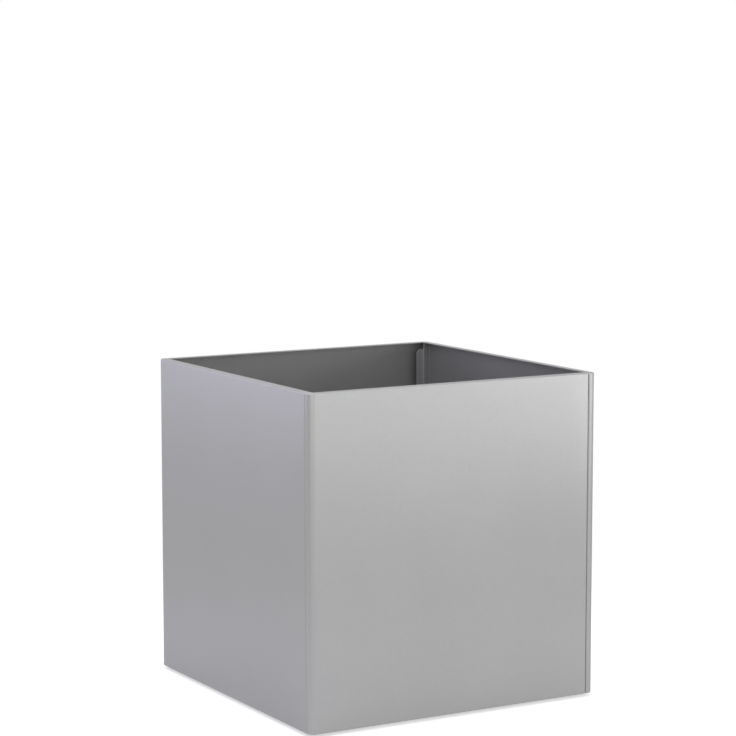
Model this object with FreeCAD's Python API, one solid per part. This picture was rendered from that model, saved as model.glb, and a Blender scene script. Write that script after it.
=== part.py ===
import FreeCAD, Part
import math
import os

from FreeCAD import Placement, Rotation, Vector

# Square floor planter of pressed sheet steel, millimetres, +Z up, origin on the floor under its centre.
# Four identical walls go round like a pinwheel: each wall wraps its own left corner and ends in a seam
# against the wall on its right. Everything is drawn once on the front wall, in that wall's own
# coordinates: x from its left corner along the wall, y from its outer face inwards, z from the floor.

# Overall size
outer_width = 400.0  # outer face to outer face, both ways
overall_height = 404.0  # floor to rim

# Sheet, and the inside radii that it is bent to
sheet = 1.0
corner_radius = 7.0  # upright corner
end_radius = 7.0  # where a wall's plain end turns in to its seam flange
edge_radius = 0.5  # rim and ledge folds, which are drawn sharp on their inner side
strip_radius_extra = 0.5  # the corner strip's fold is this much rounder than the edge folds

# Folds of a wall
rim_width = 10.0  # outer face to the rim's inner edge
strip_flat = 1.0  # flat of the corner strip between its two bends
seam_relief = 9.0  # the seam flanges stop this far under the rim and over the floor of the ledge
flange_chamfer = 5.0  # on a seam flange's free corners
mitre_gap = 0.6  # between the mitred ledges of two walls

# Bolts and nuts of the seams
thread_diameter = 5.0
hole_clearance = 0.5  # on the diameter of a bolt's hole
thread_clearance = 0.2  # on the diameter of the nut's bore
hex_width = 8.0  # head and nut, across flats
head_height = 3.5
nut_height = 4.0
bolt_tip = 2.0  # bolt end past the nut
seam_bolt_margin = 2.0  # head to the bend beside it and to the flange's tip
top_bolt_drop = 70.0  # rim to the higher bolt
low_bolt_rise = 70.0  # ledge to the lower bolt

# Ledge along the bottom of a wall, and the stick-on foot under it
foot_height = 4.0
foot_size = 20.0  # square, at the ledge
foot_taper = 1.5  # each side leans in by this much towards the floor
foot_setback = 14.0  # outer face to the foot
foot_from_corner = 50.0  # corner to the foot's middle, along the wall
ledge_margin = 1.0  # foot to the ledge's inner edge

# Base plate
base_sheet = 1.0
base_clearance = 1.5  # to the inside of the walls
base_corner_margin = 12.0  # past the bends at a seam
pan_margin = 4.0  # ledge's inner edge to the sloping pan
pan_depth = 2.5
pan_middle = 40.0  # width of the flat round the middle drain
drain_diameter = 12.0
drain_spacing = 95.0  # middle drain to the outer ones

# Worked out from the sizes above
corner_bend = corner_radius + sheet
end_bend = end_radius + sheet
edge_bend = edge_radius + sheet
strip_bend = edge_bend + strip_radius_extra
seam_offset = corner_bend + strip_flat + strip_bend  # corner to the plane where two walls meet
wall_length = outer_width - seam_offset
hex_radius = hex_width / math.sqrt(3)  # to a corner
seam_bolt_inset = end_bend + seam_bolt_margin + hex_radius
seam_depth = seam_bolt_inset + hex_radius + seam_bolt_margin
seam_bolt_heights = (foot_height + low_bolt_rise, overall_height - top_bolt_drop)
bolt_hole = thread_diameter + hole_clearance
foot_inset = foot_setback + foot_size / 2
ledge_width = foot_setback + foot_size + ledge_margin
ledge_top = foot_height + sheet
base_top = ledge_top + base_sheet
overrun = 1.0  # how far a cutter runs past what it cuts
up = Vector(0, 0, 1)
sides = ["front", "right", "back", "left"]
corners = ["front_left", "front_right", "back_right", "back_left"]


# Basic shapes

def rounded_outline(points, radii=None):
    """Closed wire through x, y points, each corner rounded by an arc of its radius, 0 for a sharp one."""
    corner_points = [Vector(x, y, 0) for x, y in points]
    count = len(points)
    radii = radii or [0] * count
    starts = []
    middles = []
    ends = []
    for i in range(count):
        corner = corner_points[i]
        inward = (corner - corner_points[i - 1]).normalize()
        onward = (corner_points[(i + 1) % count] - corner).normalize()
        half_turn = inward.getAngle(onward) / 2
        reach = radii[i] * math.tan(half_turn)
        bisector = (onward - inward).normalize()
        starts.append(corner - inward * reach)
        middles.append(corner + bisector * radii[i] * (1 / math.cos(half_turn) - 1))
        ends.append(corner + onward * reach)
    edges = []
    for i in range(count):
        if radii[i] > 0:
            edges.append(Part.Arc(starts[i], middles[i], ends[i]).toShape())
        edges.append(Part.LineSegment(ends[i], starts[(i + 1) % count]).toShape())
    return Part.Wire(edges)


def prism(points, low, high, radii=None):
    """Upright solid on an outline of x, y points."""
    outline = rounded_outline(points, radii).translated(up * low)
    return Part.Face(outline).extrude(up * (high - low))


def block(low, high):
    """Box between two opposite corners."""
    size = Vector(*high) - Vector(*low)
    return Part.makeBox(size.x, size.y, size.z, Vector(*low))


def bar(diameter, start, end):
    """Round bar from one point to another."""
    path = Vector(*end) - Vector(*start)
    return Part.makeCylinder(diameter / 2, path.Length, Vector(*start), path)


def hexagon(height):
    """Upright hexagonal prism on z = 0."""
    angles = [i * math.pi / 3 for i in range(6)]
    return prism([(hex_radius * math.cos(a), hex_radius * math.sin(a)) for a in angles], 0, height)


def tapered_square(low_half, high_half, low, high):
    """Solid between two level squares, given by their half widths."""
    wedge = Part.makeWedge(-low_half, low, -low_half, -high_half, -high_half,
                           low_half, high, low_half, high_half, high_half)
    wedge.rotate(Vector(0, 0, 0), Vector(1, 0, 0), 90)
    return wedge


def moved(shape, place, direction=(0, 0, 1)):
    """The shape with its origin at place and its +Z along direction."""
    return shape.transformed(Placement(Vector(*place), Rotation(up, Vector(*direction))).Matrix)


def around(shape, turn):
    """The shape moved from the front wall's coordinates to the wall that many quarter turns round."""
    corner = Placement(Vector(-outer_width / 2, -outer_width / 2, 0), Rotation())
    quarter = Placement(Vector(0, 0, 0), Rotation(up, 90 * turn))
    return shape.transformed((quarter * corner).Matrix)


# Wall, drawn as a shallow pressed tray: its sides are the rim, the ledge and the two seam flanges

def tray_block(offset, back):
    """Solid inside the wall's skin, set in from the skin by offset and open towards y = back."""
    seam = seam_offset - offset
    end = wall_length - offset
    outline = [(seam_depth, seam), (offset, seam), (offset, offset), (end, offset), (end, back),
               (seam_depth, back)]
    radii = [0, strip_bend - offset, corner_bend - offset, end_bend - offset, 0, 0]
    return prism(outline, foot_height + offset, overall_height - offset, radii)


def round_folds(tray):
    """Rounds the outer edges of the rim and ledge folds, all round the wall's skin."""
    face_edges = []
    for edge in tray.Edges:
        box = edge.BoundBox
        if box.XLength > box.ZLength and abs(box.YMax) < 1e-4:
            face_edges.append(edge)
    return tray.makeFillet(edge_bend, face_edges)


def ledge_corner():
    """Corner of the ledge under the seam flanges, up to the mitre."""
    under_fold = seam_offset - edge_bend - sheet
    outline = [(seam_offset, under_fold), (seam_depth, under_fold), (seam_depth, seam_depth),
               (seam_offset, seam_offset)]
    return prism(outline, foot_height, ledge_top)


def wall_cutters():
    """What is trimmed off the pressed tray: the open top, flange ends, mitres and holes."""
    deep = ledge_width + overrun
    past_end = wall_length + overrun
    past_strip = seam_depth + overrun
    low = foot_height - overrun
    high = overall_height + overrun
    under_rim = overall_height - sheet
    flange_low = foot_height + seam_relief
    flange_high = overall_height - seam_relief
    strip_back = seam_offset - edge_bend - sheet
    strip_front = seam_offset + overrun
    end_back = wall_length - edge_bend - sheet
    half_gap = mitre_gap / math.sqrt(2)
    left = seam_offset + half_gap
    left_mitre = [(left, seam_offset), (deep + half_gap, deep), (left, deep)]
    right_mitre = [(wall_length - half_gap, seam_offset), (past_end, seam_offset), (past_end, deep),
                   (outer_width - deep - half_gap, deep)]
    tools = [
        # the open top inside the rim
        block((rim_width, rim_width, overall_height - edge_bend), (past_end, deep, high)),
        prism(left_mitre, low, ledge_top + overrun),
        prism(right_mitre, low, ledge_top + overrun),
        # the strip's flange: its upper end beside the rim and under it, then its lower end
        block((rim_width, rim_width, flange_high), (past_strip, strip_front, high)),
        block((rim_width, strip_back, flange_high), (past_strip, strip_front, under_rim)),
        block((rim_width, strip_back, ledge_top), (past_strip, strip_front, flange_low)),
        # the plain end's flange: its depth, its upper end and its lower end
        block((end_back, seam_depth, ledge_top), (past_end, deep, high)),
        block((end_back, rim_width, flange_high), (past_end, deep, high)),
        block((end_back, rim_width, ledge_top), (past_end, deep, flange_low)),
    ]
    for z in seam_bolt_heights:
        tools.append(bar(bolt_hole, (seam_bolt_inset, strip_back, z), (seam_bolt_inset, strip_front, z)))
        tools.append(bar(bolt_hole, (end_back, seam_bolt_inset, z), (past_end, seam_bolt_inset, z)))
    return tools


def chamfer_flanges(panel):
    """Takes the free corners off both seam flanges."""
    heights = (foot_height + seam_relief, overall_height - seam_relief)
    tips = [Vector(seam_depth, seam_offset - sheet / 2, z) for z in heights]
    tips += [Vector(wall_length - sheet / 2, seam_depth, z) for z in heights]
    short_edges = []
    for edge in panel.Edges:
        if any(edge.CenterOfMass.distanceToPoint(tip) < sheet / 10 for tip in tips):
            short_edges.append(edge)
    return panel.makeChamfer(flange_chamfer, short_edges)


def wall_panel():
    """One pressed wall: face, wrapped corner, rim, ledge and two seam flanges."""
    tray = round_folds(tray_block(0.0, ledge_width)).cut(tray_block(sheet, ledge_width + overrun))
    panel = tray.fuse(ledge_corner()).cut(wall_cutters())
    return chamfer_flanges(panel.removeSplitter().Solids[0])


# Base plate, in the planter's own coordinates

def base_outline():
    """Square that clears the walls, with its corners cut off past the bends at the seams."""
    inset = sheet + base_clearance
    half = outer_width / 2 - inset
    near = half - (seam_offset + end_bend + base_corner_margin - 2 * inset)
    return [(-near, -half), (near, -half), (half, -near), (half, near),
            (near, half), (-near, half), (-half, near), (-half, -near)]


def base_plate():
    """Floor of the planter: flat border on the ledges, and a pan that falls to the drain in its middle."""
    pan_half = outer_width / 2 - ledge_width - pan_margin
    plate = prism(base_outline(), ledge_top, base_top)
    pan = tapered_square(pan_middle / 2, pan_half, ledge_top - pan_depth, ledge_top)
    plate = plate.fuse(pan).cut(pan.translated(up * base_sheet))
    drains = [(0, 0), (drain_spacing, 0), (0, drain_spacing), (-drain_spacing, 0), (0, -drain_spacing)]
    holes = [bar(drain_diameter, (x, y, 0), (x, y, base_top)) for x, y in drains]
    return plate.cut(holes).removeSplitter().Solids[0]


# Bolt and nut, each drawn on +Z with its seat at z = 0

def bolt():
    """Hexagon-head bolt for a seam's two sheets; the head is above the seat."""
    length = 2 * sheet + nut_height + bolt_tip
    return hexagon(head_height).fuse(bar(thread_diameter, (0, 0, -length), (0, 0, 0)))


def nut():
    bore = bar(thread_diameter + thread_clearance, (0, 0, -overrun), (0, 0, nut_height + overrun))
    return hexagon(nut_height).cut(bore)


# Assembly

def seam_fasteners():
    """Bolts and nuts of one seam, heads towards the planting space."""
    head_seat = seam_offset + sheet
    nut_seat = seam_offset - sheet
    inwards = (0, 1, 0)
    outwards = (0, -1, 0)
    return {
        "seam_bolts": [moved(bolt(), (seam_bolt_inset, head_seat, z), inwards) for z in seam_bolt_heights],
        "seam_nuts": [moved(nut(), (seam_bolt_inset, nut_seat, z), outwards) for z in seam_bolt_heights],
    }


def build():
    """Every node by its name."""
    nodes = {"base_plate": base_plate()}
    panel = wall_panel()
    pad = tapered_square(foot_size / 2 - foot_taper, foot_size / 2, 0, foot_height)
    foot = moved(pad, (foot_from_corner, foot_inset, 0))
    for turn in range(4):
        nodes["wall_panel_" + sides[turn]] = around(panel, turn)
        nodes["foot_" + corners[turn]] = around(foot, turn)
        for name, solids in seam_fasteners().items():
            nodes[name + "_" + corners[turn]] = around(Part.makeCompound(solids), turn)
    return nodes


os.makedirs("parts", exist_ok=True)
for node, shape in build().items():
    shape.exportStep("parts/" + node + ".step")
    print(node, len(shape.Solids), "solids", round(shape.Volume, 1), "mm3", shape.isValid())
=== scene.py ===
import math
import bpy
import bmesh
from mathutils import Matrix, Vector


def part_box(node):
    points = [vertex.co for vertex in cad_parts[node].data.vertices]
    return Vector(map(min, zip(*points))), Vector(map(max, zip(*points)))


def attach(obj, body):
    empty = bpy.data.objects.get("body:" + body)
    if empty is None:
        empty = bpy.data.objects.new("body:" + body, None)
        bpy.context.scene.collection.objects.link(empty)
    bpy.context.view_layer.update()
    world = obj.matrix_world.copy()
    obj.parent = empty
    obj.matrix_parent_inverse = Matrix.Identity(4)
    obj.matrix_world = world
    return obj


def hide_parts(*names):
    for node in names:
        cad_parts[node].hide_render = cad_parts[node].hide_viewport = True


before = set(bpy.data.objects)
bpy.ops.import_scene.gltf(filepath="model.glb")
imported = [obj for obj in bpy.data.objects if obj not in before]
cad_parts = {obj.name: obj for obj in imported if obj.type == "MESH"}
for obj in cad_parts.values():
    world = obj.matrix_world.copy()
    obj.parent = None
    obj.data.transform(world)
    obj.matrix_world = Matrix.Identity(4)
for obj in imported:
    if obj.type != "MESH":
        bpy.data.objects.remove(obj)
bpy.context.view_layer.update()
scene = bpy.context.scene
scene.view_settings.view_transform = "Standard"
print("frame loaded,", len(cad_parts), "nodes")

# Sizes that several pieces share, in metres; the front wall's node gives the outer ones
wallLow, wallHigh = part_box("wall_panel_front")
half = -wallLow.x
sheet = 0.001
rimWidth = 0.010
seamOffset = 0.011
mitreGap = 0.0006
hexWidth = 0.008
hexRadius = hexWidth / math.sqrt(3)
boltMargin = 0.002  # from a bolt's head to the tip of its flange
boltFromEdge = 0.070  # from the rim and from the ledge
hair = 0.00001  # for finding the points that lie on an edge

# Sides and corners go round by quarter turns, from the front side and its left corner
corners = ("front_left", "front_right", "back_right", "back_left")
quarterTurns = [Matrix.Rotation(math.radians(90 * turn), 4, "Z") for turn in range(4)]
plainWhite = (1, 1, 1, 1)


# A socket in any node tree: operators add Math nodes, add() makes every other node
class Wire:
    def __init__(self, tree, socket=None):
        self.tree = tree
        self.socket = socket

    def add(self, kind, settings=None, sockets=None, out=0):
        node = self.tree.nodes.new(kind)
        for name, value in (settings or {}).items():
            setattr(node, name, value)
        for key, value in (sockets or {}).items():
            for single in value if isinstance(value, list) else [value]:
                if isinstance(single, Wire):
                    self.tree.links.new(single.socket, node.inputs[key])
                else:
                    node.inputs[key].default_value = single
        return Wire(self.tree, node.outputs[out] if len(node.outputs) else None)

    def other(self, name):
        return Wire(self.tree, self.socket.node.outputs[name])

    def maths(self, operation, *values):
        return self.add("ShaderNodeMath", {"operation": operation}, dict(enumerate(values)))

    def __add__(self, value):
        return self.maths("ADD", self, value)

    def __sub__(self, value):
        return self.maths("SUBTRACT", self, value)

    def __mul__(self, value):
        return self.maths("MULTIPLY", self, value)

    def __radd__(self, value):
        return self.maths("ADD", value, self)

    def __rsub__(self, value):
        return self.maths("SUBTRACT", value, self)

    def __rmul__(self, value):
        return self.maths("MULTIPLY", value, self)

    def __gt__(self, value):
        return self.maths("GREATER_THAN", self, value)

    def __lt__(self, value):
        return self.maths("LESS_THAN", self, value)

    def atLeast(self, value):
        return self.maths("MAXIMUM", self, value)

    def atMost(self, value):
        return self.maths("MINIMUM", self, value)

    # textures run from 0 to 1
    def offMiddle(self):
        return self - 0.5


def startMaterial(name):
    material = bpy.data.materials.new(name)
    material.use_nodes = True
    material.node_tree.nodes.clear()
    bench = Wire(material.node_tree)
    return material, bench, bench.add("ShaderNodeTexCoord", out="Object")


def noise(bench, place, scale, detail=2.0, rough=0.5):
    return bench.add("ShaderNodeTexNoise", {"noise_dimensions": "3D"},
                     {"Vector": place, "Scale": scale, "Detail": detail, "Roughness": rough})


def cells(bench, place, scale):
    shades = bench.add("ShaderNodeTexVoronoi", {"feature": "F1"},
                       {"Vector": place, "Scale": scale}, "Color")
    return bench.add("ShaderNodeSeparateColor", sockets={"Color": shades})


# Mix keeps its two colours in sockets 6 and 7, and gives the mixed one from output 2
def endMaterial(bench, size, amount, rough, relief, film=None):
    colour = bench.add("ShaderNodeMix", {"data_type": "RGBA"},
                       {0: amount, 6: (*size["shade"], 1), 7: (*size["paleShade"], 1)}, 2)
    normal = bench.add("ShaderNodeBump", sockets={
        "Strength": size["bumpStrength"], "Distance": size["bumpDepth"], "Height": relief})
    surface = bench.add("ShaderNodeBsdfPrincipled", sockets={
        "Base Color": colour, "Metallic": size["metallic"], "Roughness": rough, "Normal": normal,
        **(film or {})})
    bench.add("ShaderNodeOutputMaterial", sockets={"Surface": surface})


# Satin silver coat of the walls: fine metal flake in a thin clear film, faint orange peel
silverCoat = {
    "shade": (0.319, 0.319, 0.321),
    "paleShade": (0.395, 0.395, 0.397),
    "edgeTint": (0.5, 0.5, 0.5),
    "metallic": 0.6,
    "roughness": 0.37,
    "flakesPerMetre": 2600.0,
    "peelPerMetre": 420.0,
    "cloudsPerMetre": 7.0,
    "flakeShare": 0.6,
    "cloudShare": 0.4,
    "flakeRough": 0.08,
    "cloudRough": 0.06,
    "flakeRelief": 0.25,
    "bumpStrength": 0.4,
    "bumpDepth": 0.00012,
    "filmWeight": 0.12,
    "filmRoughness": 0.3,
}


def makeSilverCoat(size):
    material, bench, place = startMaterial("silverCoat")
    flake = cells(bench, place, size["flakesPerMetre"])
    clouds = noise(bench, place, size["cloudsPerMetre"], detail=3.0)
    peel = noise(bench, place, size["peelPerMetre"])
    amount = size["flakeShare"] * flake + size["cloudShare"] * clouds
    rough = size["roughness"] + size["flakeRough"] * flake.offMiddle()
    rough = rough + size["cloudRough"] * clouds.offMiddle()
    relief = peel + size["flakeRelief"] * flake
    endMaterial(bench, size, amount, rough, relief, {
        "Specular Tint": (*size["edgeTint"], 1),
        "Coat Weight": size["filmWeight"], "Coat Roughness": size["filmRoughness"]})
    return material


# Base plate: the same coat sprayed thinner, duller, with the zinc's faint crystals under it
baseCoat = {
    "shade": (0.27, 0.271, 0.274),
    "paleShade": (0.4, 0.4, 0.402),
    "metallic": 0.55,
    "roughness": 0.5,
    "crystalsPerMetre": 55.0,
    "speckPerMetre": 1800.0,
    "cloudsPerMetre": 9.0,
    "crystalShare": 0.55,
    "speckShare": 0.3,
    "cloudShare": 0.15,
    "crystalRough": 0.1,
    "cloudRough": 0.04,
    "bumpStrength": 0.2,
    "bumpDepth": 0.00005,
}


def makeBaseCoat(size):
    material, bench, place = startMaterial("baseCoat")
    crystal = cells(bench, place, size["crystalsPerMetre"])
    speck = noise(bench, place, size["speckPerMetre"])
    clouds = noise(bench, place, size["cloudsPerMetre"], detail=3.0)
    amount = size["crystalShare"] * crystal + size["speckShare"] * speck + size["cloudShare"] * clouds
    rough = size["roughness"] + size["crystalRough"] * crystal.offMiddle()
    rough = rough + size["cloudRough"] * clouds.offMiddle()
    endMaterial(bench, size, amount, rough, speck)
    return material


# Bright zinc of the bolts and nuts
zincPlate = {
    "shade": (0.5, 0.5, 0.49),
    "paleShade": (0.66, 0.67, 0.69),
    "metallic": 1.0,
    "roughness": 0.32,
    "stainsPerMetre": 260.0,
    "grainPerMetre": 3200.0,
    "stainRough": 0.2,
    "grainRough": 0.1,
    "bumpStrength": 0.3,
    "bumpDepth": 0.00003,
}


def makeZincPlate(size):
    material, bench, place = startMaterial("zincPlate")
    stain = noise(bench, place, size["stainsPerMetre"], detail=4.0)
    grain = noise(bench, place, size["grainPerMetre"])
    rough = size["roughness"] + size["stainRough"] * stain.offMiddle()
    rough = rough + size["grainRough"] * grain.offMiddle()
    endMaterial(bench, size, stain, rough, grain)
    return material


# Dark rubber of the stick-on feet
footRubber = {
    "shade": (0.018, 0.018, 0.019),
    "paleShade": (0.045, 0.045, 0.046),
    "metallic": 0.0,
    "roughness": 0.75,
    "dustPerMetre": 140.0,
    "grainPerMetre": 2400.0,
    "dustRough": 0.2,
    "bumpStrength": 0.4,
    "bumpDepth": 0.00008,
}


def makeFootRubber(size):
    material, bench, place = startMaterial("footRubber")
    dust = noise(bench, place, size["dustPerMetre"], detail=4.0, rough=0.6)
    grain = noise(bench, place, size["grainPerMetre"])
    rough = size["roughness"] + size["dustRough"] * dust.offMiddle()
    endMaterial(bench, size, dust, rough, grain)
    return material


silver = makeSilverCoat(silverCoat)
baseGrey = makeBaseCoat(baseCoat)
zinc = makeZincPlate(zincPlate)
rubber = makeFootRubber(footRubber)
print("materials made")


# Node trees for the shapes: every size in the dictionary becomes a named input
def startTree(name, sizes):
    tree = bpy.data.node_groups.new(name, "GeometryNodeTree")
    tree.interface.new_socket("Geometry", in_out="OUTPUT", socket_type="NodeSocketGeometry")
    tree.interface.new_socket("Geometry", in_out="INPUT", socket_type="NodeSocketGeometry")
    for label, value in sizes.items():
        kind = "NodeSocketInt" if isinstance(value, int) else "NodeSocketFloat"
        tree.interface.new_socket(label, in_out="INPUT", socket_type=kind)
    entry = Wire(tree).add("NodeGroupInput")
    return tree, entry, {label: entry.other(label) for label in sizes}


def endTree(shape, material):
    whole = shape.add("GeometryNodeRealizeInstances", sockets={"Geometry": shape})
    coated = shape.add("GeometryNodeSetMaterial", sockets={"Geometry": whole, "Material": material})
    shape.add("NodeGroupOutput", sockets={"Geometry": coated})


def addObject(name, data):
    made = bpy.data.objects.new(name, data)
    scene.collection.objects.link(made)
    return made


# The mesh as the object's modifiers leave it
def plainMesh(maker):
    return bpy.data.meshes.new_from_object(maker.evaluated_get(bpy.context.evaluated_depsgraph_get()))


def runTree(name, mesh, tree, sizes):
    maker = addObject(name, mesh)
    modifier = maker.modifiers.new(tree.name, "NODES")
    modifier.node_group = tree
    for item in tree.interface.items_tree:
        if item.in_out == "INPUT" and item.name in sizes:
            modifier[item.identifier] = sizes[item.name]
    made = plainMesh(maker)
    maker.modifiers.remove(modifier)
    maker.data = made
    return maker


def smoothByAngle(mesh, degrees):
    mesh.polygons.foreach_set("use_smooth", [True] * len(mesh.polygons))
    mesh.set_sharp_from_angle(angle=math.radians(degrees))


def setPiece(piece, slot, *nodes):
    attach(piece, "root")
    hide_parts(*nodes)


# Wall: one pressed sheet, drawn in the front wall's own place, x from its left corner, y inwards
wallSize = {
    "low": wallLow.z,
    "high": wallHigh.z,
    "length": 2 * half - seamOffset,
    "seamOffset": seamOffset,
    "seamDepth": rimWidth + 2 * hexRadius + boltMargin,
    "foldRadius": 0.0015,
    "rimWidth": rimWidth,
    "ledgeWidth": 0.035,
    "mitreSetback": mitreGap / math.sqrt(2),
    "flangeRelief": 0.009,
    "foldSteps": 5,
    "bendSteps": 10,
}
wallMore = {
    "stripBend": 0.002,
    "cornerBend": 0.008,
    "endBend": 0.002,
    "flangeChamfer": 0.005,
    "flangeStep": 0.0002,  # along the sheet, where a fold stops and a flange begins
    "cornerGap": 0.0005,  # between the corner's ledge and the strip's fold
    "endFlat": 0.008,  # from the face to where the ledge's end starts to lean
    "endLean": 0.25,
    "weld": 2 * hair,
    "smoothAngle": 40,
}


def wallTree(sizes, more, material):
    tree, entry, size = startTree("pressedWall", sizes)

    def field(name):
        return entry.add("GeometryNodeInputNamedAttribute", {"data_type": "FLOAT"}, {"Name": name})

    def apart(axis):
        place = entry.add("GeometryNodeInputPosition")
        return entry.add("ShaderNodeSeparateXYZ", sockets={0: place}, out=axis)

    def point(x, y, z):
        return entry.add("ShaderNodeCombineXYZ", sockets={0: x, 1: y, 2: z})

    def keep(shape, name, value):
        return entry.add("GeometryNodeStoreNamedAttribute", {"data_type": "FLOAT", "domain": "POINT"},
                         {"Geometry": shape, "Name": name, "Value": value})

    def bend(curve, radius, steps):
        return entry.add("GeometryNodeFilletCurve", {"mode": "POLY"},
                         {"Curve": curve, "Radius": radius, "Count": steps})

    def drawIn(shape, edge, place):
        shape = entry.add("GeometryNodeExtrudeMesh", {"mode": "EDGES"}, {
            "Mesh": shape, "Selection": edge, "Offset Scale": 0.0})
        return entry.add("GeometryNodeSetPosition", sockets={
            "Geometry": shape, "Selection": shape.other("Top"), "Position": place})

    # the skin's line in plan, bent at each point by the radius stored there
    line = entry.add("GeometryNodeMeshToCurve", sockets={"Mesh": entry.other("Geometry")})
    line = bend(line, field("bend"), size["bendSteps"])
    line = keep(line, "skinX", apart("X"))
    line = keep(line, "skinY", apart("Y"))
    line = entry.add("GeometryNodeSetCurveNormal", {"mode": "Z_UP"}, {"Curve": line})

    # upright section: rim fold, face, ledge fold; the sweep turns it upside down and mirrors it
    rimPlace = 0 - size["high"]
    ledgePlace = 0 - size["low"]
    inset = 0 - size["foldRadius"]
    section = entry.add("GeometryNodeCurvePrimitiveQuadrilateral", {"mode": "POINTS"}, {
        "Point 1": point(inset, rimPlace, 0), "Point 2": point(0, rimPlace, 0),
        "Point 3": point(0, ledgePlace, 0), "Point 4": point(inset, ledgePlace, 0)})
    section = entry.add("GeometryNodeSetSplineCyclic", sockets={"Geometry": section, "Cyclic": False})
    section = bend(section, size["foldRadius"], size["foldSteps"])
    skin = entry.add("GeometryNodeCurveToMesh", sockets={"Curve": line, "Profile Curve": section})

    # the seam flanges have no folds and stop short of the rim and the ledge
    trim = field("trim")
    height = apart("Z").atLeast(size["low"] + trim).atMost(size["high"] - trim)
    skin = entry.add("GeometryNodeSetPosition", sockets={
        "Geometry": skin, "Selection": trim > hair,
        "Position": point(field("skinX"), field("skinY"), height)})

    # rim: the top edge drawn in to a straight inner edge, and at the wrapped corner to one point
    x = apart("X")
    foldEdge = size["seamOffset"] - size["foldRadius"]
    onFace = x > size["rimWidth"] - hair
    inner = onFace * size["rimWidth"] + (1 - onFace) * foldEdge
    skin = drawIn(skin, apart("Z") > size["high"] - hair,
                  point(x.atLeast(size["rimWidth"]), inner, size["high"]))

    # ledge: the bottom edge drawn in as far as the two mitres let it, its last bit leaning outwards
    mitreStart = size["seamOffset"] + size["mitreSetback"]
    onFace = x > mitreStart - hair
    lean = more["endLean"] * onFace * (apart("Y") - more["endFlat"]).atLeast(0)
    reach = (x - size["mitreSetback"]).atMost(size["ledgeWidth"])
    reach = reach.atMost(size["length"] + size["seamOffset"] - size["mitreSetback"] - x - lean)
    inner = onFace * reach + (1 - onFace) * (foldEdge - more["cornerGap"])
    skin = drawIn(skin, apart("Z") < size["low"] + hair,
                  point(x.atLeast(mitreStart) + lean, inner, size["low"]))
    skin = entry.add("GeometryNodeMergeByDistance", sockets={"Geometry": skin, "Distance": more["weld"]})
    endTree(skin, material)
    return tree


def wallLine(size, more):
    # x, y, bend radius and how much the flange is trimmed at each end
    tip = size["seamDepth"]
    seam = size["seamOffset"]
    rim = size["rimWidth"]
    end = size["length"]
    relief = size["flangeRelief"]
    chamfer = more["flangeChamfer"]
    step = more["flangeStep"]
    setback = size["mitreSetback"]
    ledge = size["ledgeWidth"] + setback
    run = [(tip, seam, 0, relief + chamfer), (tip - chamfer, seam, 0, relief),
           (rim + step, seam, 0, relief), (rim, seam, 0, 0),
           (0, seam, more["stripBend"], 0), (0, 0, more["cornerBend"], 0)]
    run += [(x, 0, 0, 0) for x in (rim, seam + setback, ledge, seam + end - ledge)]
    run += [(end, 0, more["endBend"], 0), (end, rim, 0, 0), (end, rim + step, 0, relief),
            (end, tip - chamfer, 0, relief), (end, tip, 0, relief + chamfer)]
    mesh = bpy.data.meshes.new("wallLine")
    spans = [(spot, spot + 1) for spot in range(len(run) - 1)]
    mesh.from_pydata([(x, y, 0) for x, y, bend, trim in run], spans, [])
    for name, values in (("bend", [spot[2] for spot in run]), ("trim", [spot[3] for spot in run])):
        mesh.attributes.new(name, "FLOAT", "POINT").data.foreach_set("value", values)
    return mesh


def thicken(mesh):
    # the sheet's inner side, and its cut edges
    skin = addObject("wallSheet", mesh)
    solid = skin.modifiers.new("sheet", "SOLIDIFY")
    solid.thickness = sheet
    solid.offset = -1
    solid.use_even_offset = False
    solid.use_quality_normals = True
    made = plainMesh(skin)
    bpy.data.objects.remove(skin)
    return made


def makeWalls(size, more):
    pattern = runTree("wallPattern", wallLine(size, more), wallTree(size, more, silver), size)
    pressed = thicken(pattern.data)
    bpy.data.objects.remove(pattern)
    pressed.transform(Matrix.Translation((-half, -half, 0)))
    smoothByAngle(pressed, more["smoothAngle"])
    for side, turn in zip(("front", "right", "back", "left"), quarterTurns):
        mesh = pressed.copy()
        mesh.transform(turn)
        setPiece(addObject("wall-" + side, mesh), "silver_coat", "wall_panel_" + side)
    print("walls made,", len(pressed.polygons), "faces each")


makeWalls(wallSize, wallMore)

# Bolts and nuts of the seams: eight of each, heads towards the inside
boltSize = {
    "acrossCorners": 2 * hexRadius,
    "hexHeight": 0.0035,
    "hexChamfer": 0.0006,
    "chamferScale": 0.86,
    "coreDiameter": 0.0042,
    "coreSides": 24,
    "shankLength": 0.008,
    "pitch": 0.0008,
    "threadDepth": 0.0004,
    "threadSides": 3,
    "threadSteps": 18,
}
nutSize = {
    "acrossCorners": 2 * hexRadius,
    "hexHeight": 0.004,
    "hexChamfer": 0.0006,
    "chamferScale": 0.86,
    "boreDiameter": 0.0052,
    "boreSides": 32,
}
seamSize = {
    "boltInset": rimWidth + hexRadius,
    "headSeat": seamOffset + sheet,
    "nutSeat": seamOffset - sheet,
    "heights": (wallLow.z + boltFromEdge, wallHigh.z - boltFromEdge),
    "smoothAngle": 28,
}


def moveUp(shape, height):
    shift = shape.add("ShaderNodeCombineXYZ", sockets={2: height})
    return shape.add("GeometryNodeTransform", sockets={"Geometry": shape, "Translation": shift})


def rod(entry, sides, diameter, length):
    return entry.add("GeometryNodeMeshCylinder", {"fill_type": "NGON"},
                     {"Vertices": sides, "Radius": diameter * 0.5, "Depth": length})


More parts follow.
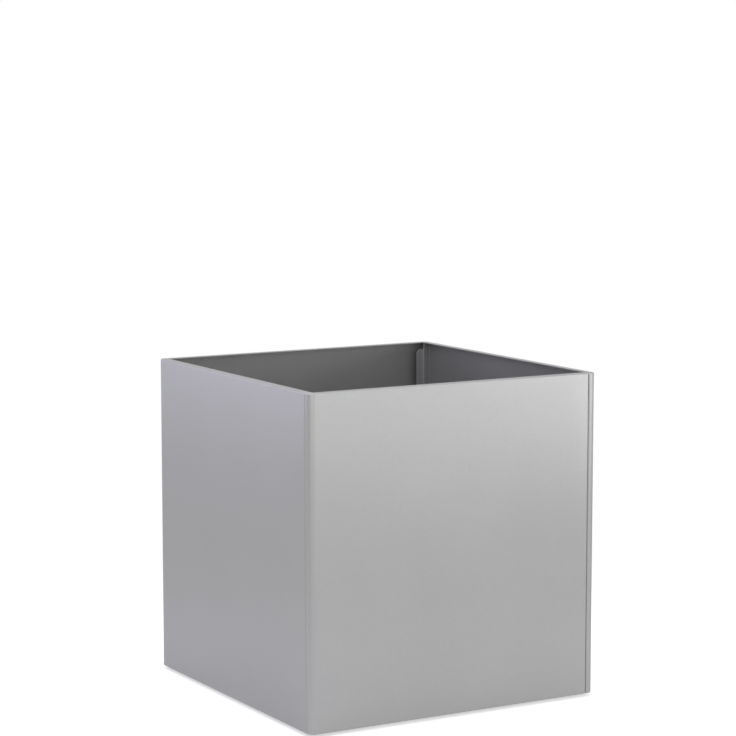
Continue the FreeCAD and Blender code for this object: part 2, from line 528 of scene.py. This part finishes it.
def hexagon(entry, size, ends):
    # straight flats between ends that taper in, standing on z = 0
    chamfer = size["hexChamfer"]
    flatLength = size["hexHeight"] - chamfer * len(ends)
    flats = rod(entry, 6, size["acrossCorners"], flatLength)
    shape = flats
    for end in ends:
        shape = entry.add("GeometryNodeExtrudeMesh", {"mode": "FACES"}, {
            "Mesh": shape, "Selection": flats.other(end), "Offset Scale": chamfer})
        shape = entry.add("GeometryNodeScaleElements", {"domain": "FACE"}, {
            "Geometry": shape, "Selection": shape.other("Top"), "Scale": size["chamferScale"]})
    middle = flatLength * 0.5
    return moveUp(shape, middle + chamfer if "Bottom" in ends else middle)


def spread(entry, shape):
    # one at each point of the input, its own z along the direction stored there
    facing = entry.add("GeometryNodeInputNamedAttribute", {"data_type": "FLOAT_VECTOR"},
                       {"Name": "facing"})
    turned = entry.add("FunctionNodeAlignRotationToVector", {"axis": "Z"}, {"Vector": facing})
    return entry.add("GeometryNodeInstanceOnPoints", sockets={
        "Points": entry.other("Geometry"), "Instance": shape, "Rotation": turned})


def boltTree(sizes, material):
    tree, entry, size = startTree("seamBolt", sizes)
    head = hexagon(entry, size, ("Top",))
    core = rod(entry, size["coreSides"], size["coreDiameter"], size["shankLength"])
    core = moveUp(core, size["shankLength"] * -0.5)
    coreRadius = size["coreDiameter"] * 0.5
    helixLength = size["shankLength"] - size["pitch"]
    helix = entry.add("GeometryNodeCurveSpiral", sockets={
        "Resolution": size["threadSteps"],
        "Rotations": entry.maths("DIVIDE", helixLength, size["pitch"]),
        "Start Radius": coreRadius, "End Radius": coreRadius, "Height": helixLength})
    ridge = entry.add("GeometryNodeCurvePrimitiveCircle", {"mode": "RADIUS"}, {
        "Resolution": size["threadSides"], "Radius": size["threadDepth"]})
    thread = entry.add("GeometryNodeCurveToMesh", sockets={
        "Curve": helix, "Profile Curve": ridge, "Fill Caps": True})
    thread = moveUp(thread, size["pitch"] * 0.5 - size["shankLength"])
    bolt = entry.add("GeometryNodeJoinGeometry", sockets={"Geometry": [head, core, thread]})
    endTree(spread(entry, bolt), material)
    return tree


def nutTree(sizes, material):
    tree, entry, size = startTree("seamNut", sizes)
    blank = hexagon(entry, size, ("Top", "Bottom"))
    drill = rod(entry, size["boreSides"], size["boreDiameter"], size["hexHeight"] * 2)
    nut = entry.add("GeometryNodeMeshBoolean", {"operation": "DIFFERENCE", "solver": "EXACT"}, {
        "Mesh 1": blank, "Mesh 2": moveUp(drill, size["hexHeight"] * 0.5)})
    endTree(spread(entry, nut), material)
    return tree


def seamPoints(size, seat, direction):
    spots = []
    ways = []
    for turn in quarterTurns:
        for height in size["heights"]:
            spots.append(turn @ Vector((size["boltInset"] - half, seat - half, height)))
            ways.extend(turn.to_3x3() @ Vector((0, direction, 0)))
    mesh = bpy.data.meshes.new("seamPoints")
    mesh.from_pydata(spots, [], [])
    mesh.attributes.new("facing", "FLOAT_VECTOR", "POINT").data.foreach_set("vector", ways)
    return mesh


def makeFasteners(size):
    for name, node, makeTree, sizes, seat, direction in (
            ("seamBolts", "seam_bolts_", boltTree, boltSize, size["headSeat"], 1),
            ("seamNuts", "seam_nuts_", nutTree, nutSize, size["nutSeat"], -1)):
        piece = runTree(name, seamPoints(size, seat, direction), makeTree(sizes, zinc), sizes)
        smoothByAngle(piece.data, size["smoothAngle"])
        setPiece(piece, "zinc_plate", *[node + corner for corner in corners])
        print(name, "made,", len(piece.data.polygons), "faces")


makeFasteners(seamSize)

# Feet: low rubber pads stuck under the ledges
footSize = {
    "topHalf": 0.010,
    "floorHalf": 0.0085,
    "height": wallLow.z,
    "place": (0.050, 0.024),
    "cornerRound": 0.003,
    "cornerSteps": 5,
    "floorRound": 0.0008,
    "floorSteps": 3,
    "smoothAngle": 40,
}


def roundEdges(pad, edges, radius, steps):
    bmesh.ops.bevel(pad, geom=edges, offset=radius, segments=steps, profile=0.5, affect="EDGES")


def makeFeet(size):
    pad = bmesh.new()
    bmesh.ops.create_cube(pad, size=1)
    for vertex in pad.verts:
        upper = vertex.co.z > 0
        reach = size["topHalf"] if upper else size["floorHalf"]
        vertex.co = (math.copysign(reach, vertex.co.x), math.copysign(reach, vertex.co.y),
                     size["height"] if upper else 0)
    upright = [edge for edge in pad.edges if abs(edge.verts[0].co.z - edge.verts[1].co.z) > hair]
    roundEdges(pad, upright, size["cornerRound"], size["cornerSteps"])
    low = [edge for edge in pad.edges if max(vertex.co.z for vertex in edge.verts) < hair]
    roundEdges(pad, low, size["floorRound"], size["floorSteps"])
    along, inwards = size["place"]
    for corner, turn in zip(corners, quarterTurns):
        mesh = bpy.data.meshes.new("foot-" + corner)
        pad.to_mesh(mesh)
        mesh.transform(turn @ Matrix.Translation((along - half, inwards - half, 0)))
        mesh.materials.append(rubber)
        smoothByAngle(mesh, size["smoothAngle"])
        setPiece(addObject("foot-" + corner, mesh), "foot_rubber", "foot_" + corner)
    pad.free()
    print("feet made")


makeFeet(footSize)

# The base plate's own shape is right: it only gets its finish
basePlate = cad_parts["base_plate"]
basePlate.data.materials.clear()
basePlate.data.materials.append(baseGrey)
print("base plate finished")

# Floor: white where the camera or a reflection sees it, and it keeps the shadow near the planter
stageSize = {
    "halfWidth": 6.0,
    "shade": 0.74,
    "lift": 0.5,
    "covered": 0.165,
    "shadowReach": 0.34,
    "whiteFrom": 0.95,
    "worldLight": 0.48,
}


def seenDirectly(bench):
    rays = bench.add("ShaderNodeLightPath")
    seen = rays.other("Is Camera Ray").atLeast(rays.other("Is Glossy Ray"))
    return seen.atLeast(rays.other("Is Transmission Ray"))


def makeFloor(size):
    material, bench, place = startMaterial("floorWhite")
    away = bench.add("ShaderNodeVectorMath", {"operation": "LENGTH"}, {0: place}, "Value")
    clear = bench.add("ShaderNodeMapRange", {"interpolation_type": "SMOOTHSTEP"}, {
        "Value": away, "From Min": size["shadowReach"], "From Max": size["whiteFrom"]})
    matt = bench.add("ShaderNodeBsdfDiffuse", sockets={"Color": (size["shade"],) * 3 + (1,)})
    lift = bench.add("ShaderNodeEmission", sockets={"Color": plainWhite, "Strength": size["lift"]})
    white = bench.add("ShaderNodeEmission", sockets={"Color": plainWhite, "Strength": 1.0})
    lifted = bench.add("ShaderNodeAddShader", sockets={0: matt, 1: lift})
    axes = bench.add("ShaderNodeSeparateXYZ", sockets={0: place})
    across = bench.maths("ABSOLUTE", axes.other("X")).atLeast(bench.maths("ABSOLUTE", axes.other("Y")))
    near = bench.add("ShaderNodeMixShader", sockets={0: across > size["covered"], 1: matt, 2: lifted})
    shown = bench.add("ShaderNodeMixShader", sockets={0: clear, 1: near, 2: white})
    surface = bench.add("ShaderNodeMixShader", sockets={0: seenDirectly(bench), 1: matt, 2: shown})
    bench.add("ShaderNodeOutputMaterial", sockets={"Surface": surface})
    wide = size["halfWidth"]
    mesh = bpy.data.meshes.new("floor")
    mesh.from_pydata([(-wide, -wide, 0), (wide, -wide, 0), (wide, wide, 0), (-wide, wide, 0)], [],
                     [(0, 1, 2, 3)])
    mesh.materials.append(material)
    addObject("floor", mesh)


def makeWorld(size):
    world = bpy.data.worlds.new("studio")
    world.use_nodes = True
    world.node_tree.nodes.clear()
    scene.world = world
    bench = Wire(world.node_tree)
    light = bench.add("ShaderNodeBackground", sockets={
        "Color": plainWhite, "Strength": size["worldLight"]})
    white = bench.add("ShaderNodeBackground", sockets={"Color": plainWhite, "Strength": 1.0})
    surface = bench.add("ShaderNodeMixShader", sockets={0: seenDirectly(bench), 1: light, 2: white})
    bench.add("ShaderNodeOutputWorld", sockets={"Surface": surface})


# Soft round lamps, all turned towards the middle of the planter
lampAim = Vector((0, 0, 0.22))
plainLight = (1, 1, 1)
coolLight = (0.75, 0.72, 1)
lamps = {
    "overhead": {"place": (0.0, -0.1, 2.3), "size": 2.0, "power": 21.0, "colour": plainLight},
    "fill": {"place": (-1.3, -2.3, 1.2), "size": 2.2, "power": 14.0, "colour": plainLight},
    "frontLow": {"place": (0.6, -2.2, 0.7), "size": 1.2, "power": 4.2, "colour": plainLight},
    "rightFront": {"place": (0.95, -1.05, 1.0), "size": 0.8, "power": 0.6, "colour": plainLight},
    "rightLow": {"place": (1.6, -1.7, 0.55), "size": 0.8, "power": 6.0, "colour": plainLight},
    "rightSide": {"place": (1.9, -0.7, 0.6), "size": 0.8, "power": 1.6, "colour": plainLight},
    "leftHigh": {"place": (-0.9, 0.2, 1.4), "size": 0.8, "power": 4.2, "colour": coolLight},
    "backLow": {"place": (-1.3, 1.9, 0.7), "size": 1.2, "power": 1.6, "colour": coolLight},
    "backNear": {"place": (-1.0, 1.1, 0.65), "size": 0.5, "power": 2.2, "colour": coolLight},
}


def makeLamps(table):
    for name, size in table.items():
        light = bpy.data.lights.new(name, "AREA")
        light.shape = "DISK"
        light.size = size["size"]
        light.energy = size["power"]
        light.color = size["colour"]
        lamp = addObject(name, light)
        lamp.location = size["place"]
        lamp.visible_camera = False
        lamp.rotation_euler = (lampAim - lamp.location).to_track_quat("-Z", "Y").to_euler()


# Camera where the photograph was taken from, angles in degrees, lens and sensor in millimetres
viewSize = {
    "place": (-1.5534, -2.6692, 0.7785),
    "yaw": 30.093,
    "tilt": 6.976,
    "lens": 121.75,
    "sensor": 36.0,
}


def makeCamera(size):
    lens = bpy.data.cameras.new("camera")
    lens.sensor_width = size["sensor"]
    lens.lens = size["lens"]
    camera = addObject("camera", lens)
    camera.location = size["place"]
    camera.rotation_euler = (math.radians(90 - size["tilt"]), 0, math.radians(-size["yaw"]))
    scene.camera = camera


makeFloor(stageSize)
makeWorld(stageSize)
makeLamps(lamps)
makeCamera(viewSize)
print("stage, lamps and camera set")
